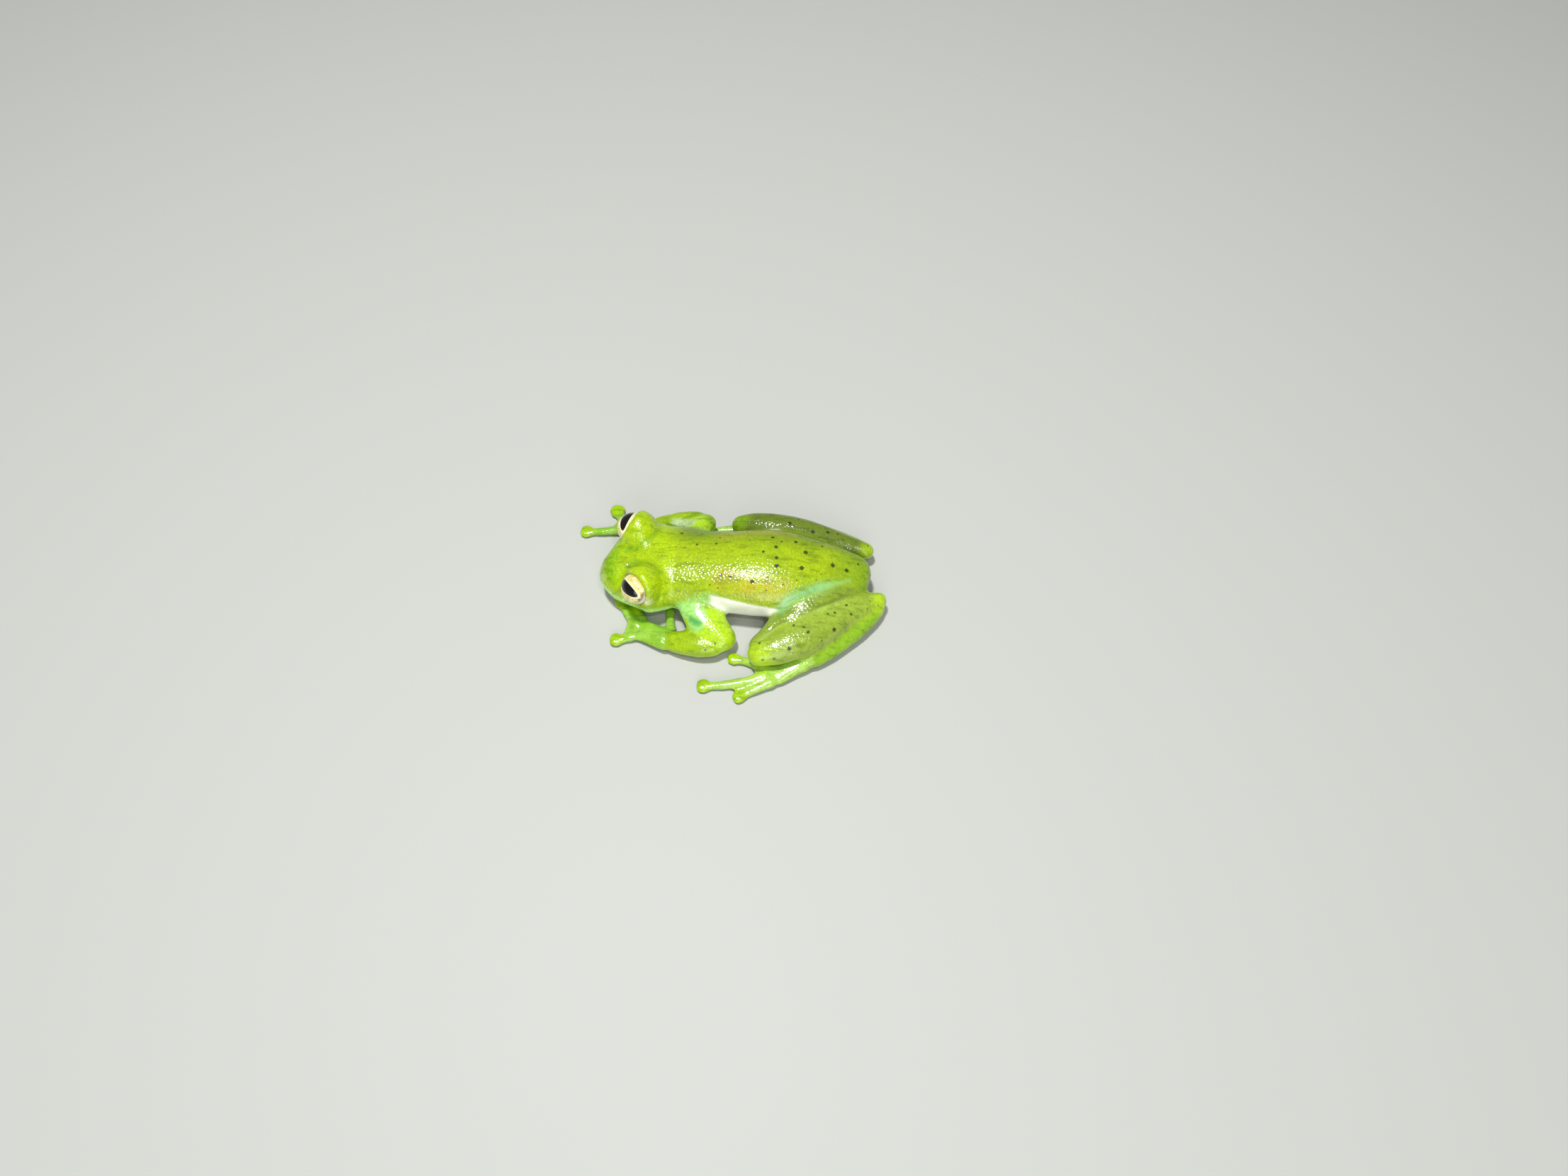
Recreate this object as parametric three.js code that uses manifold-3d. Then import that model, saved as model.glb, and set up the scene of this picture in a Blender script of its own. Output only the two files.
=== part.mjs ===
// A granular glass frog, life size, resting on the floor with its head turned a little to its left.
// Millimetres. Forward is -Y, the frog's left is +X, up is +Z, and the belly lies on z = 0.
import * as THREE from 'three';
import { mergeVertices } from 'three/addons/utils/BufferGeometryUtils.js';
import ManifoldModule from 'manifold-3d';

const wasm = await ManifoldModule();
wasm.setup();
const { Manifold, Mesh: SolidMesh } = wasm;

// Driving sizes
const BODY_LENGTH = 27; // snout to vent
const SNOUT_Y = -BODY_LENGTH / 2;
const NECK = 7.9; // distance of the neck parting from the snout
const GAP = 0.3; // space between neighbouring parts
const SNOUT_ROUND = 1.3; // depth of the rounded snout
const RUMP_ROUND = 1.5; // depth of the rounded rump
const ELLIPSE = 2; // squareness of a plain ellipse; more is boxier
const BACK_SQUARENESS = 2.25;

const EYE_RADIUS = 1.57;
const EYE_GAP = 0.12;
const EYE = { across: 3.61, back: 3.62, height: 4.31 }; // centre, from the midline and the snout
const LIDS = { radius: 2.08, backset: 0.41 }; // ball of the lids, a little behind the eye's centre
const LID_OPENING = 0.41; // distance of the lids' rim plane in front of the eye's centre
const GAZE = { forward: 55, up: 18 }; // degrees from straight sideways
const HEAD_TURN = 10.3; // degrees that the head looks to the frog's left

const MOUTH_GAP = 0.3;
const MOUTH_LINE = [[-1, 2.0], [2, 1.85], [5, 1.75], [NECK + 1, 1.65]]; // distance from snout, height
const MOUTH_HALF_SPAN = 7; // the sheet that parts the jaws reaches past both cheeks
const LIP = { radius: 0.2, above: 0.3, inset: 0.12, end: 7.3 };
const NOSTRIL = { across: 0.93, back: 0.64, height: 3.28, rim: 0.31 };
const NOSTRIL_HOLE = { radius: 0.17, outward: 0.22, forward: 0.12, up: 0.1 }; // from the rim's centre

// Digit sections as share of the shaft, half width, half height and height of the middle line
const DIGIT_SHAFT = [[0, 0.68, 0.5, 0.6], [0.35, 0.57, 0.44, 0.46], [0.8, 0.5, 0.38, 0.38]];
const PAD = { length: 1.45, neck: 0.48, halfHeight: 0.34, height: 0.3, tipThinness: 0.75 };
const PAD_ANGLES = [150, 125, 90, 58, 30]; // degrees from the tip where the round pad has a section

// Fineness of the surfaces
const BODY_SIDES = 28;
const BODY_STEP = 1.3; // distance between the body's sections
const END_STEPS = [0.06, 0.2, 0.42, 0.7]; // sections in a rounded end, as shares of its depth
const LIMB_SIDES = 12;
const CAP_ANGLES = [80, 55, 28]; // degrees of the sections in a limb's rounded end
const DIGIT_SIDES = 8;
const LIP_SIDES = 6;
const LIP_STEPS = 9; // sections of the lip on each side of the snout
const WEB_SIDES = 6;
const WEB_RINGS = 3;
const LID_DETAIL = [16, 10]; // faces round and from pole to pole
const EYE_DETAIL = [20, 11];
const NOSTRIL_DETAIL = [8, 6];
const SIMPLIFY = 0.006; // largest shift of a surface when needless edges are dropped
const SLOPE_STEP = 0.01; // step over which the direction of a curve is measured

// Body outline by distance from the snout: half width, top, bottom, height of the widest line,
// squareness below that line
const BODY_OUTLINE = [
  [0, 1.75, 3.75, 1.2, 2.35, 2.6],
  [0.7, 2.1, 3.95, 1.05, 2.2, 2.8],
  [1.4, 2.85, 4.1, 0.95, 2.1, 3],
  [2.3, 3.75, 4.3, 0.85, 2.05, 3],
  [3.9, 4.68, 4.7, 0.85, 2.1, 3],
  [5.6, 4.9, 4.95, 0.9, 2.2, 2.8],
  [7.5, 4.65, 5.15, 0.92, 2.35, 2.5],
  [9.5, 4.35, 5.35, 0.5, 2.6, 2.3],
  [11.5, 4.28, 5.6, -0.1, 2.8, 2.2],
  [14, 4.45, 5.9, -0.35, 2.9, 2.2],
  [17, 4.65, 6.0, -0.35, 2.9, 2.2],
  [19.5, 4.45, 5.7, -0.2, 2.8, 2.3],
  [22, 3.5, 5.1, 0.15, 2.65, 2.4],
  [24.5, 2.6, 4.3, 0.8, 2.5, 2.6],
  [27, 1.95, 3.5, 1.5, 2.5, 2.7],
];

// Sideways place of the midline, by distance from the snout: the head looks to the frog's left
const MIDLINE = [
  [0, 0.6],
  [1.5, 0.42],
  [2.6, 0.14],
  [3.9, -0.25],
  [6.5, -0.42],
  [9.5, -0.22],
  [13, 0],
  [18, -0.05],
  [22, -0.4],
  [24.5, -0.4],
  [27, 0.1],
];

// Limbs as rows of x, y, z, half width and half height, from the root outwards
const LEFT_LIMBS = {
  upper_arm: [
    [2.9, -4.0, 2.4, 1.7, 1.3],
    [4.4, -3.2, 2.25, 1.95, 1.25],
    [5.85, -2.0, 1.95, 1.85, 1.2],
    [7.05, -0.6, 1.5, 1.35, 1.15],
  ],
  forearm: [
    [7.3, -0.7, 1.35, 1.15, 1.1],
    [7.6, -2.4, 1.3, 1.4, 1.15],
    [7.4, -4.2, 1.1, 1.35, 1.0],
    [7.15, -5.5, 0.9, 1.25, 0.75],
  ],
  hand: [
    [7.1, -5.9, 0.8, 1.25, 0.68],
    [6.7, -6.95, 0.7, 1.25, 0.6],
    [6.2, -8.0, 0.6, 1.25, 0.54],
    [5.85, -8.85, 0.5, 1.3, 0.45],
  ],
  thigh: [
    [0.9, 11.3, 2.35, 1.6, 1.65],
    [2.1, 9.25, 2.45, 2.05, 1.85],
    [3.65, 7.25, 2.4, 2.2, 1.85],
    [5.35, 5.7, 2.15, 2.05, 1.65],
    [7.0, 4.3, 1.95, 1.75, 1.4],
    [8.15, 3.0, 1.9, 1.45, 1.25],
  ],
  shank: [
    [8.75, 2.95, 1.95, 1.3, 1.25],
    [8.05, 4.65, 2.15, 1.85, 1.5],
    [6.85, 6.7, 2.25, 2.15, 1.6],
    [5.45, 8.7, 2.2, 2.0, 1.5],
    [4.05, 10.65, 2.0, 1.55, 1.25],
    [2.75, 12.6, 1.8, 1.12, 1.0],
    [1.85, 14.25, 1.55, 0.95, 0.95],
  ],
  tarsus: [
    [2.3, 14.2, 1.15, 0.95, 0.95],
    [4.2, 12.9, 1.0, 1.0, 0.9],
    [6.15, 10.95, 0.92, 1.0, 0.82],
    [7.85, 8.95, 0.85, 1.0, 0.78],
    [8.6, 7.5, 0.8, 0.97, 0.72],
  ],
  foot: [
    [8.8, 7.15, 0.72, 0.97, 0.65],
    [9.4, 5.9, 0.6, 1.1, 0.55],
    [10.2, 4.5, 0.5, 1.25, 0.45],
  ],
};

const RIGHT_LIMBS = {
  upper_arm: [
    [-3.0, -4.9, 2.5, 1.6, 1.3],
    [-4.4, -4.5, 2.5, 1.5, 1.2],
    [-5.5, -3.95, 2.3, 1.25, 1.15],
    [-6.2, -3.45, 2.15, 1.1, 1.1],
  ],
  forearm: [
    [-6.4, -3.4, 2.1, 1.1, 1.1],
    [-6.7, -4.9, 1.8, 1.15, 1.1],
    [-6.85, -6.5, 1.4, 1.1, 0.95],
    [-6.75, -7.9, 1.05, 1.0, 0.8],
    [-6.65, -8.7, 0.85, 0.98, 0.65],
  ],
  hand: [
    [-6.65, -8.9, 0.75, 1.0, 0.6],
    [-6.6, -10.2, 0.6, 1.2, 0.55],
    [-6.55, -11.5, 0.5, 1.25, 0.45],
  ],
  thigh: [
    [-1.5, 11.2, 2.3, 1.3, 1.4],
    [-3.0, 9.3, 1.9, 1.5, 1.45],
    [-4.4, 6.6, 1.6, 1.55, 1.4],
    [-5.3, 3.8, 1.65, 1.5, 1.35],
    [-5.85, 1.4, 1.85, 1.25, 1.15],
    [-6.1, 0.4, 1.9, 1.1, 1.1],
  ],
  shank: [
    [-6.35, 0.15, 1.95, 1.1, 1.15],
    [-6.25, 1.9, 2.15, 1.45, 1.35],
    [-5.8, 4.4, 2.3, 1.65, 1.45],
    [-5.35, 6.9, 2.3, 1.55, 1.4],
    [-4.9, 9.1, 2.1, 1.3, 1.2],
    [-4.4, 11.3, 1.8, 1.05, 1.0],
    [-4.1, 12.9, 1.5, 0.95, 0.95],
  ],
  tarsus: [
    [-4.35, 12.9, 1.15, 0.95, 0.95],
    [-5.2, 11.4, 1.0, 1.0, 0.9],
    [-6.2, 9.2, 0.92, 1.0, 0.82],
    [-7.0, 7.0, 0.85, 1.05, 0.78],
    [-7.3, 5.9, 0.8, 1.05, 0.72],
  ],
  foot: [
    [-7.4, 5.4, 0.72, 1.0, 0.65],
    [-7.4, 4.1, 0.6, 1.15, 0.55],
    [-7.3, 2.9, 0.5, 1.25, 0.45],
  ],
};

// Digits as root x and y, tip x and y, sideways bow and half width of the pad
const LEFT_DIGITS = {
  finger_1: [5.9, -5.95, 2.9, -6.3, 0.1, 0.6],
  finger_2: [5.3, -8.3, 2.7, -10.0, 0.2, 0.68],
  finger_3: [5.6, -9.2, 1.95, -11.65, 0.15, 0.85],
  finger_4: [6.3, -8.8, 7.0, -12.05, 0.12, 0.89],
  toe_1: [8.9, 5.7, 6.5, 4.5, 0.1, 0.58],
  toe_2: [9.3, 4.8, 7.1, 2.1, 0.1, 0.66],
  toe_3: [9.7, 4.1, 8.4, -0.32, -0.25, 0.76],
  toe_4: [10.3, 3.8, 11.57, -3.07, 0.4, 0.89],
  toe_5: [10.9, 4.3, 13.0, 0.58, -0.05, 0.74],
};

const RIGHT_DIGITS = {
  finger_1: [-6.0, -9.8, -3.5, -9.1, -0.2, 0.6],
  finger_2: [-5.9, -11.0, -3.9, -12.3, -0.2, 0.68],
  finger_3: [-6.45, -11.5, -5.97, -16.8, 0.25, 0.87],
  finger_4: [-7.2, -11.3, -9.6, -13.15, 0.75, 0.97],
  toe_1: [-6.6, 4.5, -4.4, 3.6, -0.1, 0.58],
  toe_2: [-6.6, 3.6, -4.6, 1.0, -0.1, 0.66],
  toe_3: [-6.9, 2.9, -5.0, -1.9, 0.3, 0.76],
  toe_4: [-7.1, 2.8, -6.4, -4.4, -0.15, 0.84],
  toe_5: [-7.9, 3.8, -8.1, 0.2, 0.1, 0.76],
};

// Webs of skin as the digit that carries it, the next one, and how far along each of them it reaches
const WEBS = [
  ['finger_2', 'finger_3', 0.35, 0.3],
  ['finger_3', 'finger_4', 0.22, 0.66],
  ['toe_1', 'toe_2', 0.35, 0.3],
  ['toe_2', 'toe_3', 0.4, 0.35],
  ['toe_3', 'toe_4', 0.26, 0.22],
  ['toe_4', 'toe_5', 0.48, 0.72],
];
const WEB = { halfHeight: 0.27, height: 0.3 };

// Colours, roughness and metalness
const COLOURS = {
  back: '#a7bf17',
  belly: '#c5d79a',
  arm: '#b4c95a',
  hand: '#b9cf7c',
  leg: '#94ad52',
  digit: '#bcd06a',
  eye: '#c9b676',
};
const SKIN_ROUGHNESS = 0.38;
const EYE_ROUGHNESS = 0.08;

// Smooth curve through rows of a position and its values
function curveThrough(rows) {
  const slope = (i, k) => {
    const before = rows[Math.max(i - 1, 0)];
    const after = rows[Math.min(i + 1, rows.length - 1)];
    return (after[k] - before[k]) / (after[0] - before[0]);
  };
  return (at, k = 1) => {
    let i = 0;
    while (i < rows.length - 2 && at > rows[i + 1][0]) i += 1;
    const a = rows[i];
    const b = rows[i + 1];
    const span = b[0] - a[0];
    const t = THREE.MathUtils.clamp((at - a[0]) / span, 0, 1);
    const t2 = t * t;
    const t3 = t2 * t;
    return a[k] * (2 * t3 - 3 * t2 + 1)
      + b[k] * (3 * t2 - 2 * t3)
      + slope(i, k) * span * (t3 - 2 * t2 + t)
      + slope(i + 1, k) * span * (t3 - t2);
  };
}

// Point at an angle of a unit section, which turns from an ellipse to a box with its squareness
function sectionPoint(angle, squareness) {
  const c = Math.cos(angle);
  const s = Math.sin(angle);
  return [
    Math.sign(c) * Math.abs(c) ** (2 / squareness),
    Math.sign(s) * Math.abs(s) ** (2 / squareness),
  ];
}

// Solid of a closed triangle geometry
function toSolid(geometry) {
  geometry.deleteAttribute('normal');
  geometry.deleteAttribute('uv');
  const merged = mergeVertices(geometry);
  return new Manifold(new SolidMesh({
    numProp: 3,
    vertProperties: new Float32Array(merged.attributes.position.array),
    triVerts: new Uint32Array(merged.index.array),
  }));
}

// Solid through rings of the same number of points, closed by a fan at each end
function loft(rings) {
  const sides = rings[0].length;
  const points = rings.flat();
  const centre = (ring) => ring.reduce((sum, p) => sum.add(p), new THREE.Vector3()).divideScalar(sides);
  points.push(centre(rings[0]), centre(rings.at(-1)));
  const faces = [];
  for (let r = 0; r < rings.length - 1; r += 1) {
    for (let i = 0; i < sides; i += 1) {
      const next = (i + 1) % sides;
      const a = r * sides + i;
      const b = r * sides + next;
      const c = a + sides;
      const d = b + sides;
      faces.push(a, b, d, a, d, c);
    }
  }
  const last = (rings.length - 1) * sides;
  for (let i = 0; i < sides; i += 1) {
    const next = (i + 1) % sides;
    faces.push(next, i, points.length - 2);
    faces.push(last + i, last + next, points.length - 1);
  }
  const volume = faces.reduce((sum, _, k) => {
    if (k % 3) return sum;
    const [a, b, c] = [points[faces[k]], points[faces[k + 1]], points[faces[k + 2]]];
    return sum + a.dot(b.clone().cross(c));
  }, 0);
  if (volume < 0) faces.reverse();
  const geometry = new THREE.BufferGeometry().setFromPoints(points);
  geometry.setIndex(faces);
  return toSolid(geometry);
}

// Largest closed surface of a solid
function largest(solid) {
  return solid.decompose().reduce((a, b) => (b.volume() > a.volume() ? b : a));
}

const aboveFloor = (solid) => solid.trimByPlane([0, 0, 1], 0);

const outline = curveThrough(BODY_OUTLINE);
const midline = curveThrough(MIDLINE);
const mouthHeight = curveThrough(MOUTH_LINE);

// Place and heading of the midline at a distance from the snout
function spine(back) {
  const slope = (midline(back + SLOPE_STEP) - midline(back - SLOPE_STEP)) / (2 * SLOPE_STEP);
  const across = new THREE.Vector3(1, -slope, 0).normalize();
  return { x: midline(back), y: SNOUT_Y + back, across };
}

// World point from the midline: across to the frog's left, back from the snout, height
function bodyPoint(across, back, height) {
  const s = spine(back);
  return new THREE.Vector3(s.x, s.y, height).addScaledVector(s.across, across);
}

// How far the body's section has shrunk at its two rounded ends
function endRounding(back) {
  const snout = Math.min(back / SNOUT_ROUND, 1);
  const rump = Math.min((BODY_LENGTH - back) / RUMP_ROUND, 1);
  return Math.sqrt(1 - (1 - snout) ** 2) * Math.sqrt(1 - (1 - rump) ** 2);
}

function bodyRing(back, grow) {
  const round = endRounding(back);
  const widest = outline(back, 4);
  const halfWidth = outline(back, 1) * round + grow;
  const above = (outline(back, 2) - widest) * round + grow;
  const below = (widest - outline(back, 3)) * round + grow;
  const ring = [];
  for (let i = 0; i < BODY_SIDES; i += 1) {
    const angle = (2 * Math.PI * i) / BODY_SIDES;
    const upper = angle < Math.PI;
    const [u, v] = sectionPoint(angle, upper ? BACK_SQUARENESS : outline(back, 5));
    ring.push(bodyPoint(u * halfWidth, back, widest + v * (upper ? above : below)));
  }
  return ring;
}

// Body between two distances from the snout, finer where an end is round
function bodyStretch(from, to, grow = 0) {
  const start = from === 0 ? SNOUT_ROUND : from;
  const end = to === BODY_LENGTH ? BODY_LENGTH - RUMP_ROUND : to;
  const stations = [];
  if (from === 0) stations.push(...END_STEPS.map((share) => share * SNOUT_ROUND));
  const count = Math.round((end - start) / BODY_STEP);
  for (let i = 0; i <= count; i += 1) {
    stations.push(start + ((end - start) * i) / count);
  }
  if (to === BODY_LENGTH) {
    stations.push(...END_STEPS.toReversed().map((share) => BODY_LENGTH - share * RUMP_ROUND));
  }
  return loft(stations.map((back) => bodyRing(back, grow)));
}

// Limb of oval sections through rows of x, y, z, half width and half height, round at both ends
function limb(rows, { rings, sides = LIMB_SIDES, grow = 0 }) {
  const keyed = rows.map((row, i) => [i, ...row]);
  const at = curveThrough(keyed);
  const place = (t) => new THREE.Vector3(at(t, 1), at(t, 2), at(t, 3));
  const end = rows.length - 1;
  const sections = [];
  const addSection = (t, along, shrink) => {
    const before = place(Math.max(t - SLOPE_STEP, 0));
    const direction = place(Math.min(t + SLOPE_STEP, end)).sub(before).normalize();
    const side = new THREE.Vector3().crossVectors(direction, new THREE.Vector3(0, 0, 1)).normalize();
    const up = new THREE.Vector3().crossVectors(side, direction);
    const centre = place(t).addScaledVector(direction, along);
    const ring = [];
    for (let i = 0; i < sides; i += 1) {
      const [u, v] = sectionPoint((2 * Math.PI * i) / sides, ELLIPSE);
      ring.push(centre.clone()
        .addScaledVector(side, u * (at(t, 4) + grow) * shrink)
        .addScaledVector(up, v * (at(t, 5) + grow) * shrink));
    }
    sections.push(ring);
  };
  const capAngles = CAP_ANGLES.map(THREE.MathUtils.degToRad);
  const capDepth = (t) => Math.min(at(t, 4), at(t, 5)) + grow;
  capAngles.forEach((a) => addSection(0, -capDepth(0) * Math.sin(a), Math.cos(a)));
  for (let i = 0; i <= rings; i += 1) addSection((end * i) / rings, 0, 1);
  capAngles.toReversed().forEach((a) => addSection(end, capDepth(end) * Math.sin(a), Math.cos(a)));
  return loft(sections);
}

// Point of a digit's middle line in plan, at a share of its length
function digitPoint([rootX, rootY, tipX, tipY, bow], share) {
  const direction = new THREE.Vector2(tipX - rootX, tipY - rootY);
  const length = direction.length();
  direction.normalize();
  const sideways = bow * 4 * share * (1 - share);
  return new THREE.Vector2(rootX, rootY)
    .addScaledVector(direction, share * length)
    .add(new THREE.Vector2(-direction.y, direction.x).multiplyScalar(sideways));
}

// Digit that widens into a round pad at its tip
function digit(row, grow = 0) {
  const [rootX, rootY, tipX, tipY, , padHalf] = row;
  const length = Math.hypot(tipX - rootX, tipY - rootY);
  const shaft = length - PAD.length;
  const sections = DIGIT_SHAFT.map(([share, ...sizes]) => [share * shaft, ...sizes]);
  PAD_ANGLES.forEach((degrees, i) => {
    const angle = THREE.MathUtils.degToRad(degrees);
    const along = length - PAD.length / 2 + (PAD.length / 2) * Math.cos(angle);
    const thinness = i === PAD_ANGLES.length - 1 ? PAD.tipThinness : 1;
    const halfWidth = Math.max(padHalf * Math.sin(angle), PAD.neck);
    sections.push([along, halfWidth, PAD.halfHeight * thinness, PAD.height]);
  });
  const rings = sections.map(([along, halfWidth, halfHeight, height]) => {
    const share = along / length;
    const here = digitPoint(row, share);
    const before = digitPoint(row, share - SLOPE_STEP);
    const direction = digitPoint(row, share + SLOPE_STEP).sub(before).normalize();
    const ring = [];
    for (let i = 0; i < DIGIT_SIDES; i += 1) {
      const [u, v] = sectionPoint((2 * Math.PI * (i + 0.5)) / DIGIT_SIDES, ELLIPSE);
      const across = u * (halfWidth + grow);
      ring.push(new THREE.Vector3(
        here.x - direction.y * across,
        here.y + direction.x * across,
        height + v * (halfHeight + grow),
      ));
    }
    return ring;
  });
  return loft(rings);
}

// Flat lobe of skin that fills the angle between two digits
function web(digits, [first, second, firstReach, secondReach], grow = 0) {
  const rows = [0, 0.5, 1].map((share) => {
    const a = digitPoint(digits[first], share * firstReach);
    const b = digitPoint(digits[second], share * secondReach);
    const middle = a.clone().add(b).divideScalar(2);
    return [middle.x, middle.y, WEB.height, a.distanceTo(b) / 2, WEB.halfHeight];
  });
  return limb(rows, { sides: WEB_SIDES, rings: WEB_RINGS, grow });
}

// Eye centre and gaze, with side 1 for the left and -1 for the right
function eyePlace(side) {
  const head = THREE.MathUtils.degToRad(HEAD_TURN);
  const turn = THREE.MathUtils.degToRad(GAZE.forward);
  const lift = THREE.MathUtils.degToRad(GAZE.up);
  const across = new THREE.Vector3(Math.cos(head), Math.sin(head), 0);
  const forward = new THREE.Vector3(Math.sin(head), -Math.cos(head), 0);
  const centre = new THREE.Vector3(midline(EYE.back), SNOUT_Y + EYE.back, EYE.height)
    .addScaledVector(across, side * EYE.across);
  const gaze = across.multiplyScalar(side * Math.cos(turn))
    .addScaledVector(forward, Math.sin(turn))
    .multiplyScalar(Math.cos(lift))
    .add(new THREE.Vector3(0, 0, Math.sin(lift)));
  return { centre, gaze };
}

function ball(centre, radius, detail) {
  return toSolid(new THREE.SphereGeometry(radius, ...detail).rotateX(Math.PI / 2))
    .translate([centre.x, centre.y, centre.z]);
}

// Thin sheet along the mouth line that parts the lower jaw from the head
function mouthSheet() {
  const rings = MOUTH_LINE.map(([back]) => {
    const middle = mouthHeight(back);
    const s = spine(Math.max(back, 0));
    const y = SNOUT_Y + back;
    return [[-1, -1], [1, -1], [1, 1], [-1, 1]].map(([u, v]) => (
      new THREE.Vector3(s.x + u * MOUTH_HALF_SPAN, y, middle + (v * MOUTH_GAP) / 2)
    ));
  });
  return loft(rings);
}

// Bead of the upper lip, round the snout from one corner of the mouth to the other
function lipBead() {
  const rows = [];
  const addPoint = (step, side) => {
    const back = LIP.end * (step / LIP_STEPS) ** 2;
    const reach = outline(back, 1) * endRounding(back) - LIP.inset;
    const p = bodyPoint(side * reach, back, mouthHeight(back) + LIP.above);
    rows.push([p.x, p.y, p.z, LIP.radius, LIP.radius]);
  };
  for (let i = LIP_STEPS; i >= 1; i -= 1) addPoint(i, 1);
  for (let i = 1; i <= LIP_STEPS; i += 1) addPoint(i, -1);
  return limb(rows, { sides: LIP_SIDES, rings: rows.length });
}

const wholeBody = bodyStretch(0, BODY_LENGTH, GAP);
const torso = aboveFloor(bodyStretch(NECK + GAP / 2, BODY_LENGTH));
const eyes = { left: eyePlace(1), right: eyePlace(-1) };

// Head with raised lids, lips and nostrils, before the jaw is parted
function wholeHead() {
  let head = bodyStretch(0, NECK - GAP / 2).add(lipBead());
  Object.values(eyes).forEach(({ centre, gaze }) => {
    const lids = ball(centre.clone().addScaledVector(gaze, -LIDS.backset), LIDS.radius, LID_DETAIL)
      .trimByPlane([-gaze.x, -gaze.y, -gaze.z], -centre.dot(gaze) - LID_OPENING);
    head = head.add(lids);
  });
  [1, -1].forEach((side) => {
    const rim = bodyPoint(side * NOSTRIL.across, NOSTRIL.back, NOSTRIL.height);
    const hole = bodyPoint(
      side * (NOSTRIL.across + NOSTRIL_HOLE.outward),
      NOSTRIL.back - NOSTRIL_HOLE.forward,
      NOSTRIL.height + NOSTRIL_HOLE.up,
    );
    head = head.add(ball(rim, NOSTRIL.rim, NOSTRIL_DETAIL))
      .subtract(ball(hole, NOSTRIL_HOLE.radius, NOSTRIL_DETAIL));
  });
  Object.values(eyes).forEach(({ centre, gaze }) => {
    const opening = ball(centre.clone().addScaledVector(gaze, EYE_RADIUS), EYE_RADIUS, LID_DETAIL);
    head = head.subtract(ball(centre, EYE_RADIUS + EYE_GAP, LID_DETAIL)).subtract(opening);
  });
  return head;
}

const parts = [];
const addPart = (name, solid, colour, roughness = SKIN_ROUGHNESS) => {
  parts.push({ name, solid, colour, roughness });
};

const headHalves = wholeHead().subtract(mouthSheet()).decompose();
headHalves.sort((a, b) => b.volume() - a.volume());
addPart('torso', torso, COLOURS.back);
addPart('head', headHalves[0].simplify(SIMPLIFY), COLOURS.back);
addPart('lower_jaw', headHalves[1].simplify(SIMPLIFY), COLOURS.belly);
Object.entries(eyes).forEach(([side, { centre }]) => {
  addPart(`eye_${side}`, ball(centre, EYE_RADIUS, EYE_DETAIL), COLOURS.eye, EYE_ROUGHNESS);
});

// Limbs, each with those that it is cut clear of, and its colour
const LIMB_ORDER = [
  ['upper_arm', [], COLOURS.arm],
  ['forearm', ['upper_arm'], COLOURS.arm],
  ['hand', ['forearm'], COLOURS.hand],
  ['shank', ['foot'], COLOURS.leg],
  ['thigh', ['foot', 'shank'], COLOURS.leg],
  ['tarsus', ['foot', 'shank', 'thigh'], COLOURS.leg],
  ['foot', [], COLOURS.hand],
];

// Nodes of one side, each one cut clear of those that it meets
function addSide(side, limbs, digits) {
  const solid = {};
  const grown = {};
  Object.entries(limbs).forEach(([name, rows]) => {
    const rings = rows.length + 1;
    solid[name] = limb(rows, { rings });
    grown[name] = limb(rows, { rings, grow: GAP });
  });
  Object.entries(digits).forEach(([name, row]) => {
    solid[name] = digit(row);
    grown[name] = digit(row, GAP);
  });
  WEBS.forEach((names) => {
    const [carrier] = names;
    solid[carrier] = solid[carrier].add(web(digits, names));
    grown[carrier] = grown[carrier].add(web(digits, names, GAP));
  });
  const finish = (name, cutters, colour) => {
    const whole = aboveFloor(solid[name]).subtract(wholeBody);
    const trimmed = cutters.reduce((rest, cutter) => rest.subtract(grown[cutter]), whole);
    const [kind, number] = name.match(/^(.*?)_?(\d?)$/).slice(1);
    const nodeName = [kind, side, number].filter(Boolean).join('_');
    addPart(nodeName, largest(trimmed.simplify(SIMPLIFY)), colour);
  };
  const outerFirst = (kind) => (
    Object.keys(digits).filter((name) => name.startsWith(kind)).toReversed()
  );
  const fingers = outerFirst('finger');
  const toes = outerFirst('toe');
  const finishDigits = (names, palm) => names.forEach((name, i) => {
    finish(name, [palm, ...names.slice(0, i)], COLOURS.digit);
  });
  finishDigits(fingers, 'hand');
  finishDigits(toes, 'foot');
  LIMB_ORDER.forEach(([name, others, colour]) => {
    const isPalm = name === 'hand' || name === 'foot';
    finish(name, isPalm ? others : [...others, ...fingers, ...toes], colour);
  });
}

addSide('left', LEFT_LIMBS, LEFT_DIGITS);
addSide('right', RIGHT_LIMBS, RIGHT_DIGITS);

// Scene graph
const frog = new THREE.Group();
parts.forEach(({ name, solid, colour, roughness }) => {
  const mesh = solid.getMesh();
  const geometry = new THREE.BufferGeometry();
  geometry.setAttribute('position', new THREE.BufferAttribute(mesh.vertProperties, mesh.numProp));
  geometry.setIndex(new THREE.BufferAttribute(mesh.triVerts, 1));
  geometry.computeVertexNormals();
  const material = new THREE.MeshStandardMaterial({ color: colour, roughness, metalness: 0 });
  const node = new THREE.Mesh(geometry, material);
  node.name = name;
  frog.add(node);
});

export default frog;
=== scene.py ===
"""A granular glass frog, life size, at rest with its head turned a little to its left.

Metres. Forward is -Y, the frog's own left is +X, up is +Z, and the floor is z = 0.
"""

import math

import bpy
import numpy as np
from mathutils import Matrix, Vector
from mathutils.bvhtree import BVHTree


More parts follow.
